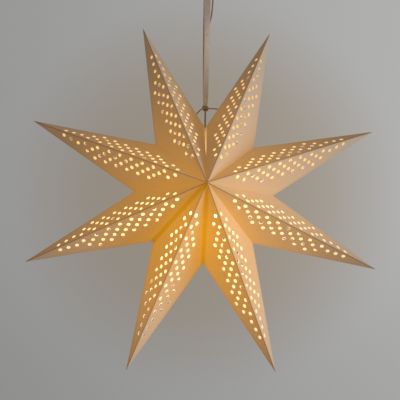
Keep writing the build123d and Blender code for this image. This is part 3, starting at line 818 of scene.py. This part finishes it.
knot = bmesh.new()
wrap = oval(knot, WRAP_RADIUS, KNOT_MIDDLE - KNOT_RISE / 2, WRAP_HALF_WIDTH, WRAP_HALF_HEIGHT)
bmesh.ops.spin(
    knot, geom=wrap, cent=ORIGIN, axis=UPRIGHT, dvec=(0, 0, KNOT_RISE / KNOT_STEPS),
    angle=KNOT_TURNS * 2 * math.pi, steps=KNOT_STEPS, use_merge=False,
)
bmesh.ops.holes_fill(knot, edges=[e for e in knot.edges if e.is_boundary], sides=OVAL_SIDES)
bmesh.ops.recalc_face_normals(knot, faces=knot.faces[:])
band = tilted_ring(BAND_RADIUS, BAND_HALF_WIDTH, BAND_HALF_HEIGHT, BAND_STEPS, BAND_TILT, "Y")
bmesh.ops.translate(band, verts=band.verts[:], vec=(0, 0, KNOT_MIDDLE))
join(knot, band)
knot_piece = new_piece("ribbon_knot", knot, cord_finish)
smooth(knot_piece)
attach(knot_piece, "star")
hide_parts("knot")
print(knot_piece.name, "faces", len(knot_piece.data.polygons))

# %% Tie cords and stopper knots
TIE_CORD, SHORTEST_CORD = 0.002, 0.03
TIE_START, TIE_BOW = (0.0045, 0.0005), (0.002, 0.003, 0.0015)
TIE_OUTSIDE, TIE_INSIDE, STOPPER_DEPTH = 0.005, 0.004, 0.0021
STOPPER_RADIUS, STOPPER_STRAND, STOPPER_STEPS, STOPPER_TILTS = 0.0014, 0.0010, 16, (0, 60, 120)


def stopper_knot(name, middle):
    """A small knot of crossed rings round a place."""
    stopper = bmesh.new()
    for tilt in STOPPER_TILTS:
        join(stopper, tilted_ring(STOPPER_RADIUS, STOPPER_STRAND, STOPPER_STRAND, STOPPER_STEPS, tilt, "X"))
    bmesh.ops.translate(stopper, verts=stopper.verts[:], vec=middle)
    piece = new_piece(name, stopper, cord_finish)
    smooth(piece)
    return piece


for name, side, number, angle in (
    ("left", -1, 1, valley_angles[0]), ("right", 1, POINTS, valley_angles[-1]),
):
    body, tip_angle = point_body(number), tip_angles[number - 1]
    triangle = Triangle(1, around(TIP_RADIUS, tip_angle), around(VALLEY_RADIUS, angle))
    hole = triangle.place() @ triangle.tie_hole(TIE_REACH[name]).to_3d()
    start = Vector((side * TIE_START[0], TIE_START[1], KNOT_MIDDLE))
    outside, inside = hole + triangle.outward * TIE_OUTSIDE, hole - triangle.outward * TIE_INSIDE
    bow = (start + outside) / 2 + Vector((side * TIE_BOW[0], *TIE_BOW[1:]))
    tie, path = cord_tube(f"tie_{name}", [start, bow, outside, inside], TIE_CORD, cord_finish)
    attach(tie, body)
    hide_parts(f"tie_cord_{name}")
    stopper_piece = stopper_knot(f"stopper_{name}", inside - triangle.outward * STOPPER_DEPTH)
    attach(stopper_piece, body)
    if body != "star":
        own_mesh(tie)
        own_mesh(stopper_piece)
    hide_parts(f"stopper_knot_{name}")
    print(tie.name, "length", round(path_length(path), 4))

# %% [markdown]
# ## Finishes of the rose, the hook, the lamp holder and the lamp
# These keep the shapes of the rigid model, which are already right. One plain colour on each would look
# like a toy, so moulded plastic has a faint grain, the hook is drawn steel wire with fine lines along
# it, and the lamp's globe is opal and lit.

# %% Plastic, metal, rubber and ceramic
GRAIN_DARK, DRAWN_OUT = 0.93, (1, 1, 0.03)


def moulded(name, color, roughness):
    """Moulded plastic with a faint grain."""
    made = finish(name, color, roughness)
    grain = noise(made, scale=700, detail=5)
    to_shader(made, "Base Color", two_tones(made, grain, [c * GRAIN_DARK for c in color], color))
    worn = ramp(made, grain, *NOISE_SPREAD, at_low=roughness - 0.06, at_high=roughness + 0.08)
    to_shader(made, "Roughness", worn)
    bump(made, grain, distance=0.00005, strength=0.5)
    return made


def drawn_metal(name, color, roughness):
    """Metal with fine lines along the height of the piece."""
    made = finish(name, color, roughness, Metallic=1.0)
    inputs = {"Vector": object_point(made), "Scale": DRAWN_OUT}
    stretched = node(made, "ShaderNodeMapping", inputs).outputs[0]
    lines = noise(made, scale=2500, detail=2, point=stretched)
    worn = ramp(made, lines, *NOISE_SPREAD, at_low=roughness - 0.08, at_high=roughness + 0.12)
    to_shader(made, "Roughness", worn)
    bump(made, lines, distance=0.00003, strength=0.5)
    return made


white_plastic = moulded("white_plastic", (0.80, 0.79, 0.75), 0.35)
holder_plastic = moulded("holder_plastic", (0.82, 0.80, 0.75), 0.32)
terminal_plastic = moulded("terminal_plastic", (0.72, 0.72, 0.66), 0.5)
black_plastic = moulded("black_insulator", (0.03, 0.03, 0.03), 0.4)
rubber = moulded("grommet_rubber", (0.035, 0.035, 0.035), 0.7)
ceramic = moulded("holder_ceramic", (0.75, 0.72, 0.65), 0.6)
core_sheath = moulded("core_sheath", (0.30, 0.12, 0.05), 0.4)
board_lacquer = moulded("board_lacquer", (0.70, 0.72, 0.68), 0.45)
steel = drawn_metal("hook_steel", (0.60, 0.60, 0.60), 0.32)
brass = drawn_metal("terminal_brass", (0.78, 0.60, 0.28), 0.3)
cap_metal = drawn_metal("lamp_cap_metal", (0.76, 0.76, 0.77), 0.28)
print("materials so far", len(bpy.data.materials))

# %% Lamp
OPAL_LIGHT, LED_LIGHT = (1.0, 0.78, 0.45, 1), (1.0, 0.80, 0.45, 1)
OPAL_TONES = (0.92, 0.86, 0.74), (0.97, 0.93, 0.84)
LED_TONES = (0.85, 0.68, 0.22), (0.95, 0.80, 0.36)

opal = finish("opal_globe", (0.95, 0.90, 0.80), 0.35, Emission_Strength=2.0, Emission_Color=OPAL_LIGHT)
to_shader(opal, "Base Color", two_tones(opal, noise(opal, scale=60), *OPAL_TONES))
phosphor = finish("led_phosphor", (0.9, 0.75, 0.3), 0.5, Emission_Strength=3.0, Emission_Color=LED_LIGHT)
to_shader(phosphor, "Base Color", two_tones(phosphor, noise(phosphor, scale=3000), *LED_TONES))
print("lamp finishes", opal.name, phosphor.name)

# %% Give the nodes their finishes
finishes = {
    white_plastic: ("rose_base", "rose_cover", "cover_nut"),
    holder_plastic: ("holder_cap", "holder_shell", "cord_grip", "lamp_collar"),
    terminal_plastic: ("terminal_block",),
    black_plastic: ("lamp_insulator",),
    rubber: ("cable_grommet",),
    ceramic: ("holder_insert",),
    core_sheath: ("rose_cores", "holder_cores"),
    board_lacquer: ("led_board", "driver_board"),
    steel: ("hook", "hook_lock_nut", "terminal_block_screws", "holder_terminal_screws"),
    brass: ("terminal_barrels", "centre_contact"),
    cap_metal: ("lamp_button",),
    opal: ("lamp_globe",),
    phosphor: ("leds",),
}
for material, names in finishes.items():
    for name in names:
        nodes[name].data.materials.clear()
        nodes[name].data.materials.append(material)
print("finished nodes", sum(len(names) for names in finishes.values()))

# %% [markdown]
# ## Screw threads
# The lamp's cap and the sleeve that it screws into are thin metal with a rolled thread. A bump in the
# finish would leave their outline straight, so the thread is in the mesh: a flat grid is rolled into a
# tube, and its radius goes in and out along a helix. The thread fades out at both ends.

# %% Threads
THREAD_PITCH, THREAD_WALL, THREAD_RUN_OUT = 0.00282, 0.0002, 0.0022
CAP_GROOVE, SLEEVE_GROOVE, SLEEVE_BORE = -0.0006, 0.0004, 0.0143
CELLS_ROUND, CELLS_UP = 72, 100


def rolled_thread(name, cad_node, radius, groove, material, body):
    """A threaded tube with its crests at a radius; the groove's sign says whether it goes out or in."""
    low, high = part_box(cad_node)
    length = high.z - low.z
    made = bmesh.new()
    bmesh.ops.create_grid(made, x_segments=CELLS_ROUND, y_segments=CELLS_UP, size=0.5)
    for vert in made.verts:
        angle, rise = 2 * math.pi * (vert.co.x + 0.5), (vert.co.y + 0.5) * length
        ease = min(1.0, rise / THREAD_RUN_OUT, (length - rise) / THREAD_RUN_OUT)
        wave = (1 - math.cos(2 * math.pi * rise / THREAD_PITCH - angle)) / 2
        reach = radius + groove * ease * wave
        vert.co = (reach * math.cos(angle), reach * math.sin(angle), low.z + rise)
    bmesh.ops.remove_doubles(made, verts=made.verts[:], dist=MERGE)
    bmesh.ops.recalc_face_normals(made, faces=made.faces[:])
    bmesh.ops.solidify(made, geom=made.faces[:], thickness=math.copysign(THREAD_WALL, -groove))
    bmesh.ops.recalc_face_normals(made, faces=made.faces[:])
    piece = new_piece(name, made, material)
    smooth(piece, SHARP)
    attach(piece, body)
    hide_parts(cad_node)
    print(name, "turns", round(length / THREAD_PITCH, 1))


cap_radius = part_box("lamp_cap")[1].x
rolled_thread("lamp_cap_thread", "lamp_cap", cap_radius, CAP_GROOVE, cap_metal, "lamp")
rolled_thread(
    "sleeve_thread", "thread_sleeve", SLEEVE_BORE / 2, SLEEVE_GROOVE, brass, "star"
)

# %% [markdown]
# ## Floor, background and light
# The floor is plain and pale, as far below as in a room, and throws no light back up. The background is
# the even grey of a wall, a little paler towards the daylight on the right, with a warm shade behind
# the star. A wall that stands in the scene would hide the star from behind, so it is in the world's
# colour instead. The camera and reflections see it, and the pieces are lit by a plain fill colour.
# Daylight comes from the right through a large soft lamp.

# %% Floor
FLOOR_RADIUS, FLOOR_SIDES, FLOOR_Z = 15.0, 128, -2.2
FLOOR_LIGHT, FLOOR_GLOW = (1, 0.99, 0.97, 1), 0.17

floor_disc = bmesh.new()
bmesh.ops.create_circle(floor_disc, cap_ends=True, segments=FLOOR_SIDES, radius=FLOOR_RADIUS)
bmesh.ops.translate(floor_disc, verts=floor_disc.verts[:], vec=(0, 0, FLOOR_Z))
floor_finish = moulded("pale_floor", (0.86, 0.85, 0.83), 0.8)
floor_shader = floor_finish.node_tree.nodes["Principled BSDF"]
floor_shader.inputs["Emission Color"].default_value = FLOOR_LIGHT
floor_shader.inputs["Emission Strength"].default_value = FLOOR_GLOW
floor = new_piece("floor", floor_disc, floor_finish)
floor.visible_diffuse = False
print("floor", tuple(round(side, 1) for side in floor.dimensions))

# %% Background
FILL_COLOR, FILL = (0.95, 0.97, 1.0, 1), 0.16
WALL_LEFT, WALL_RIGHT = (0.218, 0.217, 0.216), (0.518, 0.516, 0.512)
WALL_FOOT = (-0.12, 0.20, 0.86, 1.0)
WARM_SHADE, SHADE_EDGE, SHADE_CORE = (0.85, 0.75, 0.63), math.radians(17), math.radians(5)

world = bpy.data.worlds.new("room")
bpy.context.scene.world = world
world.use_nodes = True
tree = world.node_tree
fill = tree.nodes["Background"]
fill.inputs["Color"].default_value = FILL_COLOR
fill.inputs["Strength"].default_value = FILL
direction = node(world, "ShaderNodeTexCoord").outputs["Generated"]
toward = node(world, "ShaderNodeSeparateXYZ", {0: direction}).outputs
to_right = ramp(world, toward["X"], -1.0, 1.0, 0.0, 1.0, "SMOOTHSTEP")
wall_tone = two_tones(world, to_right, WALL_LEFT, WALL_RIGHT)
wall_tone = scaled(world, wall_tone, ramp(world, toward["Z"], *WALL_FOOT, "SMOOTHSTEP"))
beside = vector_node(world, "DOT_PRODUCT", direction, -back)["Value"]
behind_star = ramp(world, beside, math.cos(SHADE_EDGE), math.cos(SHADE_CORE), 0.0, 1.0, "SMOOTHSTEP")
warmth = two_tones(world, behind_star, (1, 1, 1), WARM_SHADE)
wall = node(world, "ShaderNodeBackground", {"Color": vector_node(world, "MULTIPLY", wall_tone, warmth)[0]})
rays = node(world, "ShaderNodeLightPath").outputs
seen = math_node(world, "MAXIMUM", rays["Is Camera Ray"], rays["Is Transmission Ray"])
seen = math_node(world, "MAXIMUM", seen, rays["Is Glossy Ray"])
mixed = node(world, "ShaderNodeMixShader", {0: seen, 1: fill.outputs[0], 2: wall.outputs[0]})
tree.links.new(mixed.outputs[0], tree.nodes["World Output"].inputs["Surface"])
print("world nodes", len(tree.nodes))

# %% Light
DAYLIGHT_PLACE, DAYLIGHT_SIZE, DAYLIGHT = Vector((2.4, -0.7, -0.7)), 1.4, 34.0
DAYLIGHT_COLOR = (0.96, 0.98, 1.0)

window = bpy.data.lights.new("daylight", "AREA")
window.size, window.energy, window.color = DAYLIGHT_SIZE, DAYLIGHT, DAYLIGHT_COLOR
daylight = new_object("daylight", window)
daylight.location = DAYLIGHT_PLACE
daylight.rotation_mode = "QUATERNION"
daylight.rotation_quaternion = (STAR - DAYLIGHT_PLACE).to_track_quat("-Z", "Y")
bpy.context.scene.view_settings.view_transform = "Standard"
bpy.context.scene.cycles.use_denoising = True
print("daylight from", tuple(round(x, 2) for x in daylight.location))
